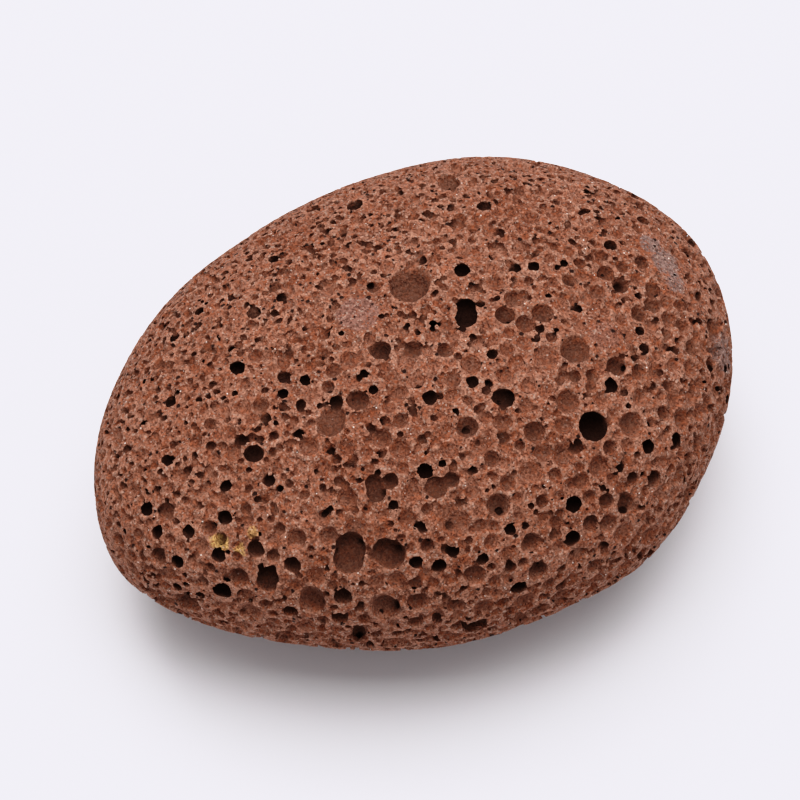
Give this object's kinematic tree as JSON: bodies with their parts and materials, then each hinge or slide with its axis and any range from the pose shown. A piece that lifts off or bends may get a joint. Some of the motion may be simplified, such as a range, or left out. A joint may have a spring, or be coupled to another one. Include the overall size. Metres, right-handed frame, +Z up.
{
  "type": "pumice stone",
  "caption": "Hand-sized pumice stone: one reddish-brown lump of porous lava, worn to an egg shape, with open bubbles all over and a small flat underneath.",
  "frame": {"origin": "middle of the underside of the stone's box, on the surface that the stone rests on", "axes": "+X along the stone to its blunt end, +Z up, and Y across; the narrow end is at -X"},
  "size_m": [0.1, 0.075, 0.045],
  "materials": {
    "lava": "matt and gritty, reddish brown, with rusty and orange specks, small white glints and darker, greyer bubble walls"
  },
  "bodies": {
    "root": {"pumice_stone": "lava"}
  },
  "joints": []
}
